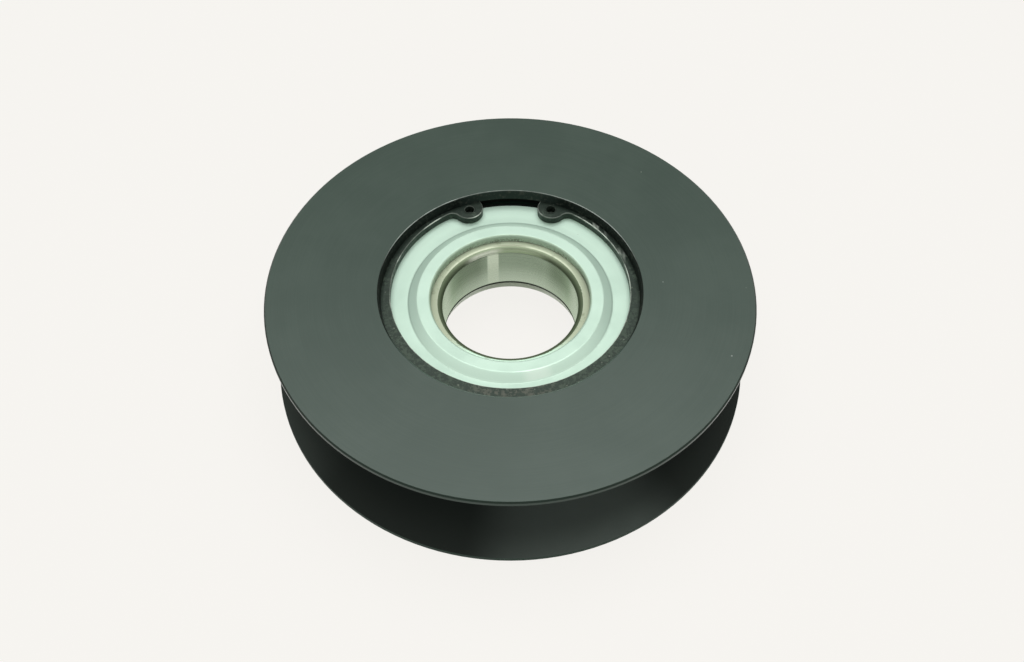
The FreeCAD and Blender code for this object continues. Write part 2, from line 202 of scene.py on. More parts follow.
def makeHoleSpots(roundPlace, holes):  # 1 near the retaining ring's holes
    group, given, out = newGroup("holeSpots", {"Near": 1.5, "Far": 2.0}, {"Mask": "NodeSocketFloat"})
    spot = place(group, roundPlace)
    flat = axes(group, vectorCalc(group, "SCALE", spot["Round"], spot["Radius"]))
    away = addNode(group, "ShaderNodeCombineXYZ")
    feed(group, away.inputs["X"], calc(group, "SUBTRACT", calc(group, "ABSOLUTE", flat["X"]), holes["x"]))
    feed(group, away.inputs["Y"], calc(group, "SUBTRACT", flat["Y"], holes["y"]))
    distance = vectorCalc(group, "LENGTH", away.outputs[0])
    feed(group, out["Mask"], fall(group, distance, given["Near"], given["Far"]))
    return group


def makeSpecks(look):  # small grains, as dust, pits or crumbs
    group, given, out = newGroup("specks", {"Scale": 400.0, "Share": 0.1, "Size": 0.3}, {"Mask": "NodeSocketFloat"})
    cells = addNode(group, "ShaderNodeTexVoronoi")
    feed(group, cells.inputs["Vector"], objectPlace(group))
    feed(group, cells.inputs["Scale"], given["Scale"])
    chance = addNode(group, "ShaderNodeSeparateColor")
    feed(group, chance.inputs[0], cells.outputs["Color"])
    size = times(group, given["Size"], chance.outputs["Green"])
    grain = fall(group, cells.outputs["Distance"], times(group, size, look["speckCore"]), size)
    chosen = calc(group, "LESS_THAN", chance.outputs["Red"], given["Share"])
    feed(group, out["Mask"], times(group, grain, chosen))
    return group


def makeSmudges(look):  # soft cloudy patches
    group, given, out = newGroup("smudges", {"Scale": 60.0, "Low": 0.4, "High": 0.7}, {"Mask": "NodeSocketFloat"})
    noise = noiseValue(group, Vector=objectPlace(group), Scale=given["Scale"],
                       Detail=look["smudgeDetail"], Roughness=look["smudgeRoughness"])
    feed(group, out["Mask"], ramp(group, noise, given["Low"], given["High"]))
    return group


def makeScratches(look):  # long thin marks in one direction
    group, given, out = newGroup("scratches", {"Turn": (0.0, 0.0, 0.6), "Width": 0.012}, {"Mask": "NodeSocketFloat"})
    turned = addNode(group, "ShaderNodeMapping")
    feed(group, turned.inputs["Vector"], objectPlace(group))
    feed(group, turned.inputs["Rotation"], given["Turn"])
    feed(group, turned.inputs["Scale"], look["scratchStretch"])
    noise = noiseValue(group, Vector=turned.outputs[0], Scale=1.0, Detail=look["scratchDetail"])
    away = calc(group, "ABSOLUTE", calc(group, "SUBTRACT", noise, look["scratchLevel"]))
    feed(group, out["Mask"], fall(group, away, 0.0, given["Width"]))
    return group


def makeRoundedEdges(look):  # 1 on roundings and bevels, 0 on level faces and upright walls
    group, given, out = newGroup("roundedEdges", {"Low": 0.15, "High": 0.95}, {"Mask": "NodeSocketFloat"})
    turned = addNode(group, "ShaderNodeVectorTransform", vector_type="NORMAL",
                     convert_from="WORLD", convert_to="OBJECT")
    feed(group, turned.inputs[0], addNode(group, "ShaderNodeNewGeometry").outputs["Normal"])
    upward = calc(group, "ABSOLUTE", axes(group, turned.outputs[0])["Z"])
    offWall = ramp(group, upward, look["wallLean"], given["Low"])
    feed(group, out["Mask"], times(group, offWall, fall(group, upward, given["High"], look["levelLean"])))
    return group


roundPlace = makeRoundPlace()
turningMarks = makeTurningMarks(roundPlace, effectLook)
holeSpots = makeHoleSpots(roundPlace, ringHoles)
specks = makeSpecks(effectLook)
smudges = makeSmudges(effectLook)
scratches = makeScratches(effectLook)
roundedEdges = makeRoundedEdges(effectLook)
print("shared effects made")


def newFinish(name, metallic, **sockets):
    material = bpy.data.materials.new(name)
    material.use_nodes = True
    tree = material.node_tree
    shader = tree.nodes["Principled BSDF"]
    shader.inputs["Metallic"].default_value = metallic
    for label, value in sockets.items():
        shader.inputs[label.replace("_", " ")].default_value = value
    return material, tree, shader


def addBump(tree, shader, height, depth):
    bump = addNode(tree, "ShaderNodeBump")
    bump.inputs["Strength"].default_value = 1.0
    bump.inputs["Distance"].default_value = depth / perMetre
    feed(tree, bump.inputs["Height"], height)
    feed(tree, shader.inputs["Normal"], bump.outputs[0])


# In the looks below, a side runs from -1 to 1, from left to right or from front to back,
# and the third number of a range is how soft its ends are.

# Black turned plastic of the roller

plasticLook = {
    "body": (0.009, 0.030, 0.019, 1.0),
    "bodyPale": (0.014, 0.039, 0.025, 1.0),
    "marks": {"Pitch": 0.45, "Wander": 2.0},
    "markDepth": 0.010,
    "cloud": {"Scale": 28.0, "Low": 0.35, "High": 0.75},
    "paleShares": (0.5, 0.5),  # of the marks and of the cloud
    "glossShares": (0.6, 0.4),
    "glossRange": (0.2, 0.8),
    "roughness": (0.34, 0.44),
    "sheen": (0.80, 1.0, 0.87, 1.0),
    "specular": 0.10,
    "coat": (0.74, 0.86),  # the turned faces shine most
    "coatRoughness": 0.39,
    "dust": {"Scale": 260.0, "Share": 0.035, "Size": 0.14},
    "dustColour": (0.30, 0.34, 0.31, 1.0),
    "dustShare": 0.55,
    "recess": (0.014, 0.022, 0.018, 1.0),
    "recessRadius": (41.0, 43.45, 0.1),
    "recessSide": (-0.75, -0.35),  # darkest from here towards the back
    # painted shade at the recess's sides
    "recessDark": (0.004, 0.006, 0.005, 1.0),
    "recessDarkSide": (0.30, 0.46),  # away from the retaining ring's gap
    "recessRoughness": 0.50,
    "crumbs": {"Scale": 900.0, "Low": 0.50, "High": 0.66},
    "crumbColour": (0.034, 0.040, 0.032, 1.0),
    "crumbShares": (1.0, 0.5),  # near the gap and away from it
    "mouthRadius": (43.3, 43.8, 0.06),
    "mouthSide": (0.15, 0.55),  # painted highlight from here towards the back
    "mouthHighlight": (0.40, 0.45, 0.41, 1.0),
    "mouthHighlightBreakup": {"Scale": 220.0, "Low": 0.30, "High": 0.60},
    "mouthHighlightBreakupShares": (0.5, 1.0),
    "mouthSideShares": (0.6, 1.0),  # near the gap and away from it
    "slot": (0.003, 0.004, 0.003, 1.0),  # painted shade in the retaining ring's groove
    "slotHeight": (11.9, 15.02, 0.03),
    "hubInset": (0.15, 0.05),  # how far in from the lower face the hub's inside starts
    # painted shade in the rope groove: darker deep down, paler towards the flanges
    "groove": (0.011, 0.0137, 0.012, 1.0),
    "grooveOuter": (0.020, 0.024, 0.021, 1.0),
    "grooveDepth": (9.0, 17.0),
    "grooveStart": 1.65,  # how far below a face the groove starts
    "grooveSoft": 0.15,
    "grooveRoughness": 0.72,
    "grooveLight": (0.110, 0.132, 0.117, 1.0),  # painted light in the groove
    "grooveLightPlaces": (
        {"side": (0.29, -0.957, 0.0), "reach": 0.88, "share": 0.85},
        {"side": (-0.92, -0.39, 0.0), "reach": 0.93, "share": 0.28},
    ),
    "grooveLightPatches": {"Scale": 34.0, "Low": 0.35, "High": 0.80},
    "grooveLightPatchShares": (0.8, 1.0),
    "grooveLightDepth": (12.0, 17.5),
    "grooveLightDepthShares": (0.5, 1.0),
    "rim": (0.011, 0.027, 0.018, 1.0),
    "rimReach": 0.75,
    "rimSoft": 0.02,
    "rimRoughness": (0.20, 0.45),  # of the upper and the lower flange
    "rimCoat": (0.26, 0.0),
    "edge": (0.015, 0.024, 0.018, 1.0),  # the chamfer at the rim
    "edgeInset": (0.5, 0.03),  # where it starts and ends, below the face
    "edgeCoat": 0.18,
    "footShadow": (0.006, 0.008, 0.007, 1.0),  # the same chamfer on the floor
    "hiddenRoughness": 1.0,
}


def makeBlackPlastic(look):
    material, tree, shader = newFinish("blackPlastic", 0.0, Specular_Tint=look["sheen"],
                                       Specular_IOR_Level=look["specular"], Coat_Roughness=look["coatRoughness"])
    spot = place(tree, roundPlace)
    lines = place(tree, turningMarks, **look["marks"])["Lines"]
    cloud = place(tree, smudges, **look["cloud"])["Mask"]
    colour = mixColour(tree, mingle(tree, lines, cloud, look["paleShares"]), look["body"], look["bodyPale"])
    level = calc(tree, "ABSOLUTE", spot["Height"])
    isUpper = calc(tree, "GREATER_THAN", spot["Height"], 0.0)
    isLower = calc(tree, "LESS_THAN", spot["Height"], 0.0)
    outward = calc(tree, "GREATER_THAN", spot["Radius"], recessEdge)

    # The recess above the bearing, its painted shade and the painted highlight on its mouth
    inRecess = times(tree, band(tree, spot["Radius"], *look["recessRadius"]),
                     ramp(tree, spot["Backward"], *look["recessSide"]), isUpper)
    # painted shade: darker at the recess's sides, away from the gap
    darker = ramp(tree, calc(tree, "ABSOLUTE", spot["Rightward"]), *look["recessDarkSide"])
    colour = mixColour(tree, inRecess, colour, mixColour(tree, darker, look["recess"], look["recessDark"]))
    crumbs = times(tree, inRecess, place(tree, smudges, **look["crumbs"])["Mask"],
                   blendValue(tree, darker, *look["crumbShares"]))
    colour = mixColour(tree, crumbs, colour, look["crumbColour"])
    # a painted highlight on the mouth's chamfer, broken up in patches
    mouth = times(tree, band(tree, spot["Radius"], *look["mouthRadius"]), place(tree, roundedEdges)["Mask"],
                  ramp(tree, spot["Backward"], *look["mouthSide"]))
    wearAndHighlight = place(tree, smudges, **look["mouthHighlightBreakup"])["Mask"]
    wearAndHighlight = times(tree, blendValue(tree, wearAndHighlight, *look["mouthHighlightBreakupShares"]),
                 blendValue(tree, darker, *look["mouthSideShares"]))
    colour = mixColour(tree, times(tree, mouth, wearAndHighlight), colour, look["mouthHighlight"])
    dust = place(tree, specks, **look["dust"])["Mask"]
    colour = mixColour(tree, times(tree, dust, look["dustShare"]), colour, look["dustColour"])

    # The rope groove and the retaining ring's slot, with painted shade and light
    start = faceHeight - look["grooveStart"]
    inGroove = times(tree, fall(tree, level, start - look["grooveSoft"], start), outward)
    # painted shade, darker deeper in the groove
    grooveColour = mixColour(tree, ramp(tree, level, *look["grooveDepth"]), look["groove"], look["grooveOuter"])
    # painted light in the groove, strongest at the front right, broken up in patches
    patchy = place(tree, smudges, **look["grooveLightPatches"])["Mask"]
    for lightPlace in look["grooveLightPlaces"]:
        facing = vectorCalc(tree, "DOT_PRODUCT", spot["Round"], lightPlace["side"])
        grooveLight = times(tree, ramp(tree, facing, lightPlace["reach"], 1.0), lightPlace["share"],
                      blendValue(tree, patchy, *look["grooveLightPatchShares"]),
                      ramp(tree, level, *look["grooveLightDepth"], *look["grooveLightDepthShares"]))
        grooveColour = mixColour(tree, grooveLight, grooveColour, look["grooveLight"])
    colour = mixColour(tree, inGroove, colour, grooveColour)
    # painted shade, near black, in the retaining ring's groove
    inSlot = times(tree, band(tree, spot["Height"], *look["slotHeight"]), inverse(tree, outward))
    colour = mixColour(tree, inSlot, colour, look["slot"])

    # The hub's lower side, then the flat and the chamfer at the rim
    hubStart, hubEnd = (faceHeight - inset for inset in look["hubInset"])
    inHub = calc(tree, "SUBTRACT", fall(tree, level, hubStart, hubEnd), outward, clamp=True)
    colour = mixColour(tree, times(tree, inHub, isLower), colour, look["recess"])
    atRim = calc(tree, "GREATER_THAN", spot["Radius"], rimRadius - look["rimReach"])
    edgeStart, edgeEnd = (faceHeight - inset for inset in look["edgeInset"])
    onEdge = times(tree, atRim, band(tree, level, edgeStart, edgeEnd, look["rimSoft"]))
    onFlat = times(tree, atRim, band(tree, level, start, edgeStart, look["rimSoft"]))
    colour = mixColour(tree, onFlat, colour, look["rim"])
    colour = mixColour(tree, onEdge, colour, mixColour(tree, isLower, look["edge"], look["footShadow"]))
    feed(tree, shader.inputs["Base Color"], colour)

    uneven = mingle(tree, lines, cloud, look["glossShares"])
    rough = ramp(tree, uneven, *look["glossRange"], *look["roughness"])
    rough = blendValue(tree, inRecess, rough, look["recessRoughness"])
    rough = blendValue(tree, onFlat, rough, blendValue(tree, isLower, *look["rimRoughness"]))
    rough = blendValue(tree, inGroove, rough, look["grooveRoughness"])
    hidden = calc(tree, "MAXIMUM", times(tree, onEdge, isLower), inSlot)
    feed(tree, shader.inputs["Roughness"], blendValue(tree, hidden, rough, look["hiddenRoughness"]))
    shine = ramp(tree, uneven, *look["glossRange"], *look["coat"])
    shine = blendValue(tree, onFlat, shine, blendValue(tree, isLower, *look["rimCoat"]))
    shine = blendValue(tree, onEdge, shine, look["edgeCoat"])
    for dull in (inRecess, inGroove, hidden):
        shine = blendValue(tree, dull, shine, 0.0)
    feed(tree, shader.inputs["Coat Weight"], shine)
    addBump(tree, shader, lines, look["markDepth"])
    return material


# Plated pressed steel of the sealing discs

plateLook = {
    "plate": (0.530, 0.705, 0.590, 1.0),
    "plateDull": (0.505, 0.675, 0.565, 1.0),
    "metallic": 0.30,
    "marks": {"Pitch": 0.8, "Wander": 1.5},
    "markDepth": 0.004,
    "cloud": {"Scale": 70.0, "Low": 0.35, "High": 0.75},
    "glossShares": (0.5, 0.5),  # of the marks and of the cloud
    "glossRange": (0.2, 0.8),
    "roughness": (0.48, 0.58),
    "stains": {"Scale": 300.0, "Share": 0.05, "Size": 0.18},
    "stainColour": (0.16, 0.19, 0.135, 1.0),
    "stainShare": 0.30,
    "frontSide": (-0.85, -0.15),
    "backSide": (0.35, 0.90),
    "stepRadius": (30.6, 33.6),
    "stepSoft": 0.2,
    # painted light on the step and the outer ring
    "stepPale": (0.660, 0.870, 0.730, 1.0),
    "stepReflection": (0.84, 1.0, 0.875, 1.0),  # a painted reflection on the step
    "patchPlace": (0.27, -0.963, 0.0),
    "patchReach": (0.984, 1.0),
    "patchShare": 0.7,
    "footRadius": (33.4, 33.9, 0.15),  # where the step meets the outer ring of the disc: a painted highlight at the front, painted shade elsewhere
    "footShade": (0.36, 0.49, 0.41, 1.0),
    "footHighlight": (0.74, 0.96, 0.81, 1.0),
    "footShare": 0.6,
    "outerRadius": (35.0, 37.5),
    "outerShare": 0.45,
    "underHoles": {"Near": 1.7, "Far": 2.1},
    "underHoleDark": (0.020, 0.026, 0.020, 1.0),  # darker under the retaining ring's holes
    "underHoleDarkShare": 0.9,
    "lip": (0.430, 0.575, 0.435, 1.0),
    "lipRadius": (26.7, 27.05),
    "crumbs": {"Scale": 1300.0, "Low": 0.42, "High": 0.60},
    "crumbPatches": {"Scale": 110.0, "Low": 0.40, "High": 0.60},
    "crumbPatchShares": (0.40, 1.0),
    "dirt": (0.175, 0.210, 0.150, 1.0),
    "dirtHeight": (11.7, 13.0),
    "dirtShares": (1.0, 0.12),
    "lipShade": (0.115, 0.150, 0.110, 1.0),
    "lipShadeSide": (0.80, 0.97),
    "lowerLip": (0.50, 0.56, 0.45, 1.0),
    # painted light: the lower lip paler towards both sides
    "lowerLipLit": (0.86, 0.92, 0.82, 1.0),
    "lowerLipSide": (0.20, 0.80),
    "lowerLipRadius": (23.9, 24.3),
}


def makePlatedSteel(look):
    material, tree, shader = newFinish("platedSteel", look["metallic"])
    lines = place(tree, turningMarks, **look["marks"])["Lines"]
    cloud = place(tree, smudges, **look["cloud"])["Mask"]
    colour = mixColour(tree, cloud, look["plate"], look["plateDull"])
    stains = place(tree, specks, **look["stains"])["Mask"]
    colour = mixColour(tree, times(tree, stains, look["stainShare"]), colour, look["stainColour"])

    # The step and the outer ring of the disc, with painted light and shade
    spot = place(tree, roundPlace)
    atFront = fall(tree, spot["Backward"], *look["frontSide"])
    atBack = ramp(tree, spot["Backward"], *look["backSide"])
    onStep = band(tree, spot["Radius"], *look["stepRadius"], look["stepSoft"])
    inward = fall(tree, spot["Radius"], *look["stepRadius"])
    # painted light: the whole step at the front, its inner part at the back
    lit = calc(tree, "MULTIPLY_ADD", atBack, inward, atFront, clamp=True)
    colour = mixColour(tree, times(tree, onStep, lit), colour, look["stepPale"])
    # a painted reflection on the step at the front right
    facing = vectorCalc(tree, "DOT_PRODUCT", spot["Round"], look["patchPlace"])
    stepReflection = times(tree, ramp(tree, facing, *look["patchReach"]), onStep, look["patchShare"])
    colour = mixColour(tree, stepReflection, colour, look["stepReflection"])
    # painted highlight at the front and painted shade elsewhere, along the step's foot
    foot = band(tree, spot["Radius"], *look["footRadius"])
    footColour = mixColour(tree, atFront, look["footShade"], look["footHighlight"])
    colour = mixColour(tree, times(tree, foot, look["footShare"]), colour, footColour)
    # painted light on the outer ring at the back
    outer = times(tree, ramp(tree, spot["Radius"], *look["outerRadius"]), atBack, look["outerShare"])
    colour = mixColour(tree, outer, colour, look["stepPale"])
    # darker on the disc under the retaining ring's holes
    underHoleDark = place(tree, holeSpots, **look["underHoles"])["Mask"]
    colour = mixColour(tree, times(tree, underHoleDark, look["underHoleDarkShare"]), colour, look["underHoleDark"])

    # The lips over the bearing's inner ring
    crumbs = place(tree, smudges, **look["crumbs"])["Mask"]
    patchy = place(tree, smudges, **look["crumbPatches"])["Mask"]
    low = ramp(tree, spot["Height"], *look["dirtHeight"], *look["dirtShares"])
    crumbs = times(tree, crumbs, blendValue(tree, patchy, *look["crumbPatchShares"]), low)
    upperLip = mixColour(tree, crumbs, look["lip"], look["dirt"])
    shaded = times(tree, ramp(tree, spot["Rightward"], *look["lipShadeSide"]), low)
    upperLip = mixColour(tree, shaded, upperLip, look["lipShade"])
    onUpperLip = calc(tree, "SUBTRACT", fall(tree, spot["Radius"], *look["lipRadius"]), atFront, clamp=True)
    upper = mixColour(tree, onUpperLip, colour, upperLip)
    # painted light, paler towards both sides of the lower lip
    aside = ramp(tree, calc(tree, "ABSOLUTE", spot["Rightward"]), *look["lowerLipSide"])
    lowerLip = mixColour(tree, aside, look["lowerLip"], look["lowerLipLit"])
    lower = mixColour(tree, fall(tree, spot["Radius"], *look["lowerLipRadius"]), colour, lowerLip)
    isUpper = calc(tree, "GREATER_THAN", spot["Height"], 0.0)
    feed(tree, shader.inputs["Base Color"], mixColour(tree, isUpper, lower, upper))

    uneven = mingle(tree, lines, cloud, look["glossShares"])
    feed(tree, shader.inputs["Roughness"], ramp(tree, uneven, *look["glossRange"], *look["roughness"]))
    addBump(tree, shader, lines, look["markDepth"])
    return material


# Ground steel of the bearing's rings

groundLook = {
    "steel": (0.268, 0.335, 0.250, 1.0),
    "steelDull": (0.240, 0.300, 0.222, 1.0),
    "marks": {"Pitch": 0.22, "Wander": 0.8},
    "markDepth": 0.0003,
    "cloud": {"Scale": 60.0, "Low": 0.35, "High": 0.75},
    "dullShares": (0.06, 0.8),  # of the marks and of the cloud
    "glossRange": (0.2, 0.8),
    "roughness": (0.24, 0.32),
    "glance": (0.80, 0.93, 0.76, 1.0),
    "brushed": 0.6,
    "brushedTurn": 0.25,
    "boreRadius": 22.56,
    "shade": (0.165, 0.210, 0.150, 1.0),  # where the bore mirrors something dark
    "shadeSides": ((-0.85, -0.42, 0.10), (0.60, 0.86, 0.10)),
    # painted light: the bore paler towards its lower end
    "pale": (0.54, 0.63, 0.51, 1.0),
    "paleHeight": (-6.5, 5.0),
    "paleShares": (0.65, 0.0),
    # painted light: the bore paler at both sides
    "sidePale": (0.60, 0.63, 0.58, 1.0),
    "sideReach": (0.86, 0.99),
    "sideShares": (0.0, 0.8),
    "rubAndHighlight": (0.56, 0.64, 0.51, 1.0),  # a painted highlight strip along the bore
    "highlightSide": (-0.350, -0.180, 0.014),
    "rubAndHighlightHeight": (-6.5, 9.0),
    "highlightShares": (0.45, 1.0),
    "foot": (0.010, 0.013, 0.009, 1.0),  # a painted line of shade at the bore's lower end, dull and not metallic
    "footHeight": (-7.6, -5.86, 0.15),
    "footSide": (0.6, 0.95),
    "footRise": (0.0, 0.40),  # higher at both sides
    "footRoughness": 0.9,
    "face": (0.352, 0.395, 0.295, 1.0),
    "faceHeight": (10.955, 10.995),
    "faceRoughness": 0.55,
    # painted light on the face at the front
    "frontFace": (0.45, 0.61, 0.50, 1.0),
    "frontSide": (-0.92, -0.55),
    # painted reflections on the rounded corner: dark at the sides, paler towards the back
    "corner": (0.088, 0.115, 0.071, 1.0),
    "cornerPale": (0.148, 0.180, 0.120, 1.0),
    "cornerInner": (0.53, 0.65, 0.43, 1.0),
    "cornerHeight": (9.8, 10.75),
    "cornerSide": (0.45, 0.97),  # painted reflection, paler from here towards the back
    "innerSide": (0.78, 1.0),
    "cornerRoughness": 0.45,
    "glint": (0.85, 0.90, 0.78, 1.0),
    "glintSide": (-0.60, -0.16, 0.10),
    "glintHeight": (10.0, 10.95),
    "glintShares": (0.75, 0.0),
    "crest": (0.74, 0.77, 0.63, 1.0),  # a painted highlight where the face turns down into the bore
    "crestSide": (0.24, 0.86, 0.10),
    "crestRadius": (24.15, 24.80, 0.15),
    "crestShare": 0.28,
    "crestDull": (0.185, 0.195, 0.140, 1.0),
    "crestMiddle": (0.08, 0.30),  # painted shade between the two painted highlights
    "crestMiddleShares": (0.55, 0.0),
    "stains": {"Scale": 420.0, "Low": 0.56, "High": 0.72},
    "stainColour": (0.10, 0.125, 0.075, 1.0),
    "stainShare": 0.4,
}


def makeGroundSteel(look):
    material, tree, shader = newFinish("groundSteel", 1.0, Specular_Tint=look["glance"],
                                       Anisotropic=look["brushed"], Anisotropic_Rotation=look["brushedTurn"])
    tangent = addNode(tree, "ShaderNodeTangent", direction_type="RADIAL", axis="Z")
    feed(tree, shader.inputs["Tangent"], tangent.outputs[0])
    lines = place(tree, turningMarks, **look["marks"])["Lines"]
    cloud = place(tree, smudges, **look["cloud"])["Mask"]
    colour = mixColour(tree, mingle(tree, lines, cloud, look["dullShares"]), look["steel"], look["steelDull"])

    # The wall of the bore, with painted reflections, light and shade
    spot = place(tree, roundPlace)
    atBack = calc(tree, "GREATER_THAN", spot["Backward"], 0.0)
    aside = calc(tree, "ABSOLUTE", spot["Rightward"])
    for reach in look["shadeSides"]:
        shade = times(tree, band(tree, spot["Rightward"], *reach), atBack)
        colour = mixColour(tree, shade, colour, look["shade"])
    # painted light, paler towards the bore's lower end
    paler = ramp(tree, spot["Height"], *look["paleHeight"], *look["paleShares"])
    colour = mixColour(tree, paler, colour, look["pale"])
    # painted light at both sides of the bore
    sides = ramp(tree, aside, *look["sideReach"], *look["sideShares"])
    colour = mixColour(tree, sides, colour, look["sidePale"])
    # a painted highlight strip along the back of the bore
    strip = times(tree, band(tree, spot["Rightward"], *look["highlightSide"]), atBack,
                  ramp(tree, spot["Height"], *look["rubAndHighlightHeight"], *look["highlightShares"]))
    colour = mixColour(tree, strip, colour, look["rubAndHighlight"])
    # painted shade at the bore's lower end, rising at both sides
    lift = ramp(tree, aside, *look["footSide"], *look["footRise"])
    foot = band(tree, calc(tree, "SUBTRACT", spot["Height"], lift), *look["footHeight"])
    colour = mixColour(tree, foot, colour, look["foot"])

    # The rounded corner, the upper face and the crest between them, with painted reflections and highlights
    outside = inverse(tree, calc(tree, "LESS_THAN", spot["Radius"], look["boreRadius"]))
    onFace = ramp(tree, spot["Height"], *look["faceHeight"])
    onCorner = times(tree, calc(tree, "SUBTRACT", outside, onFace, clamp=True),
                     calc(tree, "GREATER_THAN", spot["Height"], 0.0))
    # painted reflections, paler towards the back of the corner
    inner = mixColour(tree, ramp(tree, spot["Backward"], *look["innerSide"]), look["corner"], look["cornerInner"])
    corner = mixColour(tree, fall(tree, spot["Height"], *look["cornerHeight"]), look["cornerPale"], inner)
    corner = mixColour(tree, ramp(tree, spot["Backward"], *look["cornerSide"]), look["corner"], corner)
    glint = times(tree, band(tree, spot["Rightward"], *look["glintSide"]), atBack,
                  ramp(tree, spot["Height"], *look["glintHeight"], *look["glintShares"]))
    corner = mixColour(tree, glint, corner, look["glint"])
    colour = mixColour(tree, onCorner, colour, corner)
    # painted light on the face at the front
    atFront = fall(tree, spot["Backward"], *look["frontSide"])
    colour = mixColour(tree, onFace, colour, mixColour(tree, atFront, look["face"], look["frontFace"]))
    # a painted highlight on the crest, with painted shade in its middle
    onCrest = times(tree, band(tree, spot["Radius"], *look["crestRadius"]), atBack)
    bright = times(tree, band(tree, aside, *look["crestSide"]), onCrest, look["crestShare"])
    colour = mixColour(tree, bright, colour, look["crest"])
    dull = times(tree, ramp(tree, aside, *look["crestMiddle"], *look["crestMiddleShares"]), onCrest)
    colour = mixColour(tree, dull, colour, look["crestDull"])
    stains = times(tree, place(tree, smudges, **look["stains"])["Mask"], outside, look["stainShare"])
    feed(tree, shader.inputs["Base Color"], mixColour(tree, stains, colour, look["stainColour"]))

    rough = ramp(tree, lines, *look["glossRange"], *look["roughness"])
    rough = blendValue(tree, foot, rough, look["footRoughness"])
    rough = blendValue(tree, onCorner, rough, look["cornerRoughness"])
    feed(tree, shader.inputs["Roughness"], blendValue(tree, onFace, rough, look["faceRoughness"]))
    feed(tree, shader.inputs["Metallic"], inverse(tree, foot))
    addBump(tree, shader, lines, look["markDepth"])
    return material


# Blackened and oiled spring steel of the retaining ring

springLook = {
    "black": (0.006, 0.011, 0.008, 1.0),
    "grey": (0.052, 0.072, 0.054, 1.0),
    "brown": (0.094, 0.098, 0.080, 1.0),
    "brownSide": (-0.995, -0.90),
    "frontSide": (-0.60, 0.50),
    "metallic": 0.15,
    "sheen": (0.80, 1.0, 0.86, 1.0),
    "specular": 0.38,
    "grain": {"Scale": 900.0, "Low": 0.44, "High": 0.60},
    "grainDepth": 0.035,
    "roughness": (0.36, 0.58),
    "cloud": {"Scale": 150.0, "Low": 0.4, "High": 0.7},
    "bareAndHighlight": (0.62, 0.68, 0.60, 1.0),
    "edgeWearAndHighlight": {"Scale": 110.0, "Low": 0.42, "High": 0.60},
    "edgeWearAndHighlightShares": (0.15, 0.9),
    "holes": {"Near": 1.9, "Far": 2.5},
    "holeShares": (1.0, 0.15),  # edge wear with its painted highlight, and shine, away from a hole and beside it
    "rubbedSides": ((0.64, 0.80, 0.025), (0.895, 0.935, 0.025)),
    "rubbedRadius": (40.8, 42.4, 0.25),
    "rubAndHighlightHeight": (14.3, 14.7),  # only on top
    "scratches": {"Turn": (0.0, 0.0, 0.35), "Width": 0.16},
    "scratchShares": (0.15, 0.55),
    "dust": {"Scale": 800.0, "Share": 0.20, "Size": 0.38},
    "dustColour": (0.22, 0.24, 0.20, 1.0),
    "dustShares": (0.20, 0.60),  # at the back and at the front
    "rimRadius": (40.8, 42.4),  # duller towards the outside
    "rimRoughness": 0.9,
}


def makeSpringSteel(look):
    material, tree, shader = newFinish("springSteel", look["metallic"], Specular_Tint=look["sheen"],
                                       Specular_IOR_Level=look["specular"])
    spot = place(tree, roundPlace)
    atFront = fall(tree, spot["Backward"], *look["frontSide"])
    grain = place(tree, smudges, **look["grain"])["Mask"]
    cloud = place(tree, smudges, **look["cloud"])["Mask"]
    stained = times(tree, calc(tree, "MAXIMUM", cloud, atFront), grain)
    browned = fall(tree, spot["Backward"], *look["brownSide"])
    colour = mixColour(tree, stained, look["black"], mixColour(tree, browned, look["grey"], look["brown"]))

    # Bare metal and a painted bevel highlight on the edges, and bare metal where tools have rubbed
    offHole = blendValue(tree, place(tree, holeSpots, **look["holes"])["Mask"], *look["holeShares"])
    edgeWearAndHighlight = blendValue(tree, place(tree, smudges, **look["edgeWearAndHighlight"])["Mask"], *look["edgeWearAndHighlightShares"])
    # bare metal and a painted bevel highlight on the rounded edges
    wearAndHighlight = times(tree, place(tree, roundedEdges)["Mask"], edgeWearAndHighlight, offHole)
    colour = mixColour(tree, wearAndHighlight, colour, look["bareAndHighlight"])
    first, second = (band(tree, spot["Rightward"], *reach) for reach in look["rubbedSides"])
    rubAndHighlight = times(tree, calc(tree, "MAXIMUM", first, second), band(tree, spot["Radius"], *look["rubbedRadius"]),
                   calc(tree, "GREATER_THAN", spot["Backward"], 0.0),
                   ramp(tree, spot["Height"], *look["rubAndHighlightHeight"]))
    marks = times(tree, place(tree, scratches, **look["scratches"])["Mask"],
                  blendValue(tree, cloud, *look["scratchShares"]))
    colour = mixColour(tree, times(tree, rubAndHighlight, marks), colour, look["bareAndHighlight"])
    dust = times(tree, place(tree, specks, **look["dust"])["Mask"], blendValue(tree, atFront, *look["dustShares"]))
    feed(tree, shader.inputs["Base Color"], mixColour(tree, dust, colour, look["dustColour"]))

    outside = calc(tree, "SUBTRACT", ramp(tree, spot["Radius"], *look["rimRadius"]), atFront, clamp=True)
    dull = calc(tree, "MAXIMUM", outside, inverse(tree, offHole))
    rough = ramp(tree, grain, 0.0, 1.0, *look["roughness"])
    feed(tree, shader.inputs["Roughness"], blendValue(tree, dull, rough, look["rimRoughness"]))
    addBump(tree, shader, grain, look["grainDepth"])
    return material


# Polished balls and the pressed cage inside the bearing

insideLook = {
    "cloud": {"Scale": 160.0, "Low": 0.35, "High": 0.75},
    "grain": {"Scale": 700.0, "Low": 0.3, "High": 0.8},
    "ball": {"steel": (0.58, 0.58, 0.56, 1.0), "dull": (0.50, 0.50, 0.48, 1.0),
             "roughness": (0.05, 0.12), "grainDepth": 0.0},
    "cage": {"steel": (0.42, 0.42, 0.40, 1.0), "dull": (0.30, 0.30, 0.27, 1.0),
             "roughness": (0.30, 0.45), "grainDepth": 0.008},
}


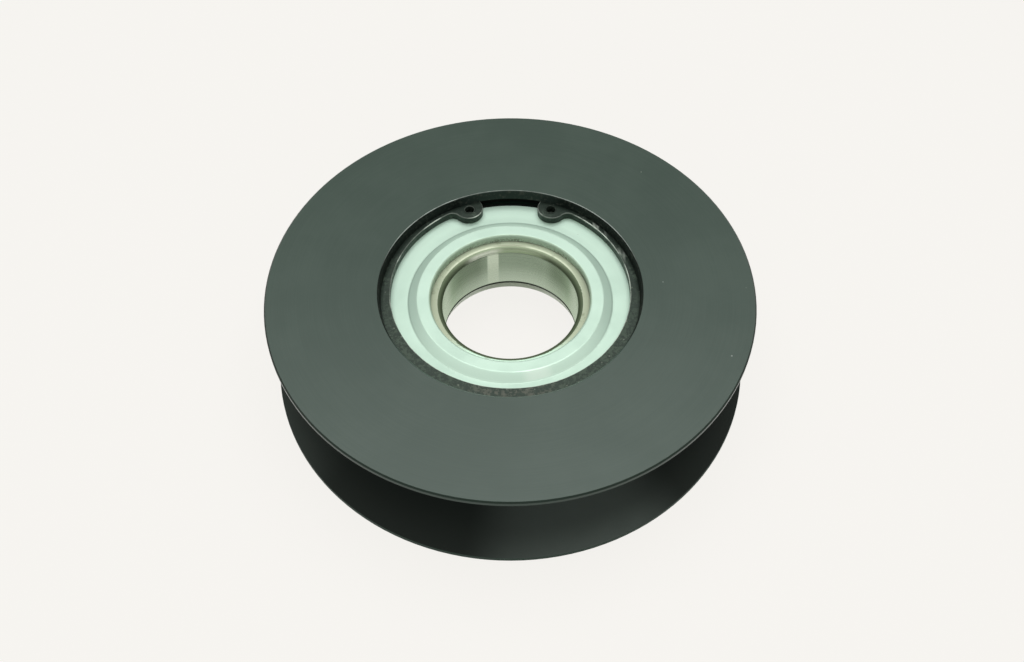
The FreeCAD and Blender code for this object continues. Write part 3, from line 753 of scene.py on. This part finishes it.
def makeInsideSteel(name, look, finish):
    material, tree, shader = newFinish(name, 1.0)
    cloud = place(tree, smudges, **look["cloud"])["Mask"]
    grain = place(tree, smudges, **look["grain"])["Mask"]
    feed(tree, shader.inputs["Base Color"], mixColour(tree, cloud, finish["steel"], finish["dull"]))
    feed(tree, shader.inputs["Roughness"], ramp(tree, grain, 0.0, 1.0, *finish["roughness"]))
    if finish["grainDepth"]:
        addBump(tree, shader, grain, finish["grainDepth"])
    return material


finishes = {
    "black_plastic": makeBlackPlastic(plasticLook),
    "plated_steel": makePlatedSteel(plateLook),
    "bearing_steel": makeGroundSteel(groundLook),
    "spring_steel": makeSpringSteel(springLook),
    "ball_steel": makeInsideSteel("ballSteel", insideLook, insideLook["ball"]),
    "cage_steel": makeInsideSteel("cageSteel", insideLook, insideLook["cage"]),
}
for part in frame["record"]["subparts"]:
    piece = frame["nodes"][part["node"]]
    for slot in piece.material_slots:
        slot.link = "OBJECT"
        slot.material = finishes[part["material_slot"]]


# Floor, light and camera

stageLook = {
    "floor": (0.922, 0.905, 0.871, 1.0),
    "floorSize": 12.0,
    "floorGap": 0.00002,  # metres below the part
    "selfLit": 0.93,  # share of the floor's colour that no shadow reaches
    "glow": 1.012,
    "fill": 0.30,  # light from all round
}


def seenRays(tree):  # 1 for what the camera, a mirror or glass shows
    path = addNode(tree, "ShaderNodeLightPath").outputs
    seen = calc(tree, "MAXIMUM", path["Is Camera Ray"], path["Is Glossy Ray"])
    return calc(tree, "MAXIMUM", seen, path["Is Transmission Ray"])


def mixShaders(tree, factor, a, b):
    node = addNode(tree, "ShaderNodeMixShader")
    for socket, source in zip(node.inputs, (factor, a, b)):
        feed(tree, socket, source)
    return node.outputs[0]


def newSheet(name, corners):  # a four-sided sheet for the stage
    mesh = bpy.data.meshes.new(name)
    mesh.from_pydata(corners, [], [(0, 1, 2, 3)])
    sheet = bpy.data.objects.new(name, mesh)
    bpy.context.scene.collection.objects.link(sheet)
    return sheet


def makeFloor(look):
    half = look["floorSize"] / 2
    floor = newSheet("floor", [(-half, -half, 0), (half, -half, 0), (half, half, 0), (-half, half, 0)])
    floor.location.z = floorHeight - look["floorGap"]

    material = bpy.data.materials.new("paleFloor")
    material.use_nodes = True
    tree = material.node_tree
    tree.nodes.remove(tree.nodes["Principled BSDF"])
    matte = addNode(tree, "ShaderNodeBsdfDiffuse")
    matte.inputs["Color"].default_value = look["floor"]
    glow = addNode(tree, "ShaderNodeEmission")
    glow.inputs["Color"].default_value = look["floor"]
    glow.inputs["Strength"].default_value = look["glow"]
    lit = mixShaders(tree, times(tree, seenRays(tree), look["selfLit"]), matte.outputs[0], glow.outputs[0])
    clear = addNode(tree, "ShaderNodeBsdfTransparent")  # open from below, to see the underside
    behind = addNode(tree, "ShaderNodeNewGeometry").outputs["Backfacing"]
    feed(tree, tree.nodes["Material Output"].inputs["Surface"], mixShaders(tree, behind, lit, clear.outputs[0]))
    floor.data.materials.append(material)


def makeSurround(look):
    world = bpy.data.worlds.new("surround")
    world.use_nodes = True
    bpy.context.scene.world = world
    tree = world.node_tree
    pale = tree.nodes["Background"]
    pale.inputs["Color"].default_value = look["floor"]
    fill = addNode(tree, "ShaderNodeBackground")
    fill.inputs["Strength"].default_value = look["fill"]
    blend = mixShaders(tree, seenRays(tree), fill.outputs[0], pale.outputs[0])
    feed(tree, tree.nodes["World Output"].inputs["Surface"], blend)


lampLook = {
    "overhead": {"place": (0.0, 0.17, 0.80), "size": (0.80, 0.62), "watts": 5.0, "mirrored": True},
    "front": {"place": (0.0, -0.80, 0.22), "size": (0.90, 0.30), "watts": 2.8, "mirrored": False},
}


def makeLamps(lamps):
    for name, lamp in lamps.items():
        data = bpy.data.lights.new(name, "AREA")
        data.shape = "RECTANGLE"
        data.size, data.size_y = lamp["size"]
        data.energy = lamp["watts"]
        light = bpy.data.objects.new(name, data)
        light.location = lamp["place"]
        light.rotation_euler = (-Vector(lamp["place"])).to_track_quat("-Z", "Y").to_euler()  # aims at the part
        light.visible_camera = False
        light.visible_glossy = lamp["mirrored"]
        bpy.context.scene.collection.objects.link(light)


flagLook = {
    "width": 2.2,
    "low": 0.05,
    "lowDistance": 1.1,
    "high": 0.40,
    "highDistance": 0.88,  # leans towards the part
    "black": (0.01, 0.012, 0.011, 1.0),
}


def makeFlag(look):  # a dark card on the camera's side, so that bevels there stay dark
    half = look["width"] / 2
    low, high = (-look["lowDistance"], look["low"]), (-look["highDistance"], look["high"])
    card = newSheet("darkCard", [(-half, *low), (half, *low), (half, *high), (-half, *high)])
    card.visible_camera = False
    card.visible_diffuse = False
    material, _, _ = newFinish("darkCard", 0.0, Roughness=1.0, Base_Color=look["black"])
    card.data.materials.append(material)


cameraLook = {
    "place": (0.00055, -0.25121, 0.32758),
    "elevation": 52.968,  # degrees above the floor
    "roll": -0.122,
    "lens": 42.844,
    "sensor": 36.0,
    "nearest": 0.01,
}


def makeCamera(look):
    data = bpy.data.cameras.new("camera")
    data.lens = look["lens"]
    data.sensor_width = look["sensor"]
    data.clip_start = look["nearest"]
    camera = bpy.data.objects.new("camera", data)
    camera.location = look["place"]
    camera.rotation_mode = "ZXY"
    camera.rotation_euler = (math.radians(90 - look["elevation"]), 0.0, math.radians(look["roll"]))
    bpy.context.scene.collection.objects.link(camera)
    bpy.context.scene.camera = camera


makeFloor(stageLook)
makeSurround(stageLook)
makeLamps(lampLook)
makeFlag(flagLook)
makeCamera(cameraLook)
bpy.context.scene.view_settings.view_transform = "Standard"
print("stage, lamps and camera set")
